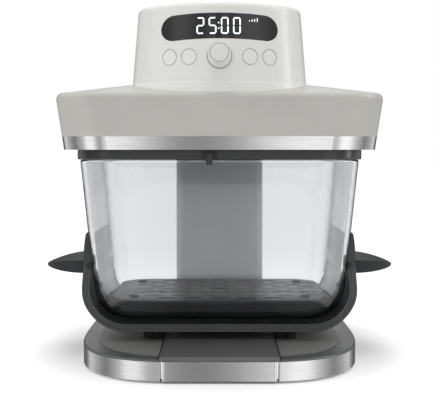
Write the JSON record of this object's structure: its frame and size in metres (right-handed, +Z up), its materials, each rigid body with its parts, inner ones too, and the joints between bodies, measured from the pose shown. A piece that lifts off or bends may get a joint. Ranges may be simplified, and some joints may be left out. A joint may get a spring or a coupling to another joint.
{
  "type": "glass air fryer",
  "caption": "Countertop air fryer: hinged head with fan, heater and dial over a tapered glass container in a winged cradle, on a rounded base with a rear column.",
  "frame": {"origin": "centre of the footprint at the underside of the rubber feet", "axes": "+X to the right seen from the front, +Y to the back, +Z up"},
  "size_m": [0.3552, 0.32, 0.3415],
  "materials": {
    "shell_light": "satin",
    "shell_grey": "satin",
    "button_light": "satin",
    "trim_steel": "brushed",
    "dark_plastic": "satin",
    "black_plastic": "satin",
    "column_grey": "satin",
    "inlay_grey": "satin",
    "rubber_black": "matt",
    "glass_clear": "polished",
    "lens_black": "polished",
    "steel_plain": "plain",
    "liner_metal": "plain",
    "brass_bush": "plain",
    "coated_dark": "coated",
    "fan_plastic": "matt",
    "insulation": "matt",
    "board_green": "satin",
    "module_black": "matt"
  },
  "bodies": {
    "base": {"base_top_cover": "dark_plastic", "base_inlay": "inlay_grey", "container_guide": "dark_plastic", "base_trim_band": "trim_steel", "base_front_plate": "trim_steel", "base_bottom_pan": "black_plastic", "base_rubber_feet": "rubber_black", "base_screws": "steel_plain", "column_shell": "column_grey", "column_rear_cover": "column_grey", "column_bracket": "steel_plain", "cord_gland": "black_plastic", "hinge_pin": "steel_plain", "hinge_clips": "steel_plain"},
    "head": {"tower_shell": "shell_light", "collar_shell": "shell_grey", "trim_band": "trim_steel", "bottom_cover": "black_plastic", "ring_frame": "dark_plastic", "lid_gasket": "rubber_black", "switch_housing": "black_plastic", "liner": "liner_metal", "heater_coil": "steel_plain", "fan_guard": "liner_metal", "guard_posts": "steel_plain", "insulation_plate": "insulation", "head_frame": "steel_plain", "hinge_bushes": "brass_bush", "motor_bracket": "liner_metal", "fan_motor": "liner_metal", "power_board": "board_green", "control_board": "board_green", "display_module": "module_black", "display_window": "lens_black", "button_carrier": "black_plastic", "tact_switches": "black_plastic", "encoder_body": "black_plastic"},
    "container": {"glass_container": "glass_clear", "cradle_strap": "dark_plastic", "handle_left": "dark_plastic", "handle_right": "dark_plastic", "handle_screws": "steel_plain", "cradle_feet": "rubber_black", "glass_pads": "rubber_black", "interlock_tab": "steel_plain"},
    "crisper": {"crisper_plate": "coated_dark", "crisper_bumpers": "rubber_black"},
    "fan_rotor": {"motor_shaft": "steel_plain", "convection_fan": "liner_metal", "cooling_fan": "fan_plastic"},
    "dial_shaft": {"encoder_rotor": "steel_plain"},
    "dial": {"dial_knob": "button_light"},
    "button_outer_left_cap": {"button_outer_left": "button_light"},
    "button_inner_left_cap": {"button_inner_left": "button_light"},
    "button_inner_right_cap": {"button_inner_right": "button_light"},
    "button_outer_right_cap": {"button_outer_right": "button_light"}
  },
  "joints": [
    {"name": "head_tilt", "type": "hinge", "parent": "base", "child": "head", "pos_m": [0, 0.136, 0.226], "axis": [-1, 0, 0], "range_deg": [0, 78]},
    {"name": "container_slide", "type": "slide", "parent": "base", "child": "container", "axis": [0, -1, 0], "range_m": [0, 0.3]},
    {"name": "crisper_lift", "type": "slide", "parent": "container", "child": "crisper", "axis": [0, 0, 1], "range_m": [0, 0.13]},
    {"name": "fan_spin", "type": "hinge", "parent": "head", "child": "fan_rotor", "pos_m": [0, -0.004, 0.24], "axis": [0, 0, 1], "continuous": true},
    {"name": "dial_turn", "type": "hinge", "parent": "head", "child": "dial_shaft", "pos_m": [0, -0.12227, 0.2914], "axis": [0, -0.9885, 0.1514], "continuous": true},
    {"name": "dial_press", "type": "slide", "parent": "dial_shaft", "child": "dial", "axis": [0, 0.9885, -0.1514], "range_m": [0, 0.001], "stiffness_N_per_m": 3000},
    {"name": "button_outer_left_press", "type": "slide", "parent": "head", "child": "button_outer_left_cap", "axis": [0.4759, 0.8664, -0.1514], "range_m": [0, 0.0008], "stiffness_N_per_m": 1500},
    {"name": "button_inner_left_press", "type": "slide", "parent": "head", "child": "button_inner_left_cap", "axis": [0.2897, 0.9451, -0.1514], "range_m": [0, 0.0008], "stiffness_N_per_m": 1500},
    {"name": "button_inner_right_press", "type": "slide", "parent": "head", "child": "button_inner_right_cap", "axis": [-0.2897, 0.9451, -0.1514], "range_m": [0, 0.0008], "stiffness_N_per_m": 1500},
    {"name": "button_outer_right_press", "type": "slide", "parent": "head", "child": "button_outer_right_cap", "axis": [-0.4759, 0.8664, -0.1514], "range_m": [0, 0.0008], "stiffness_N_per_m": 1500}
  ]
}
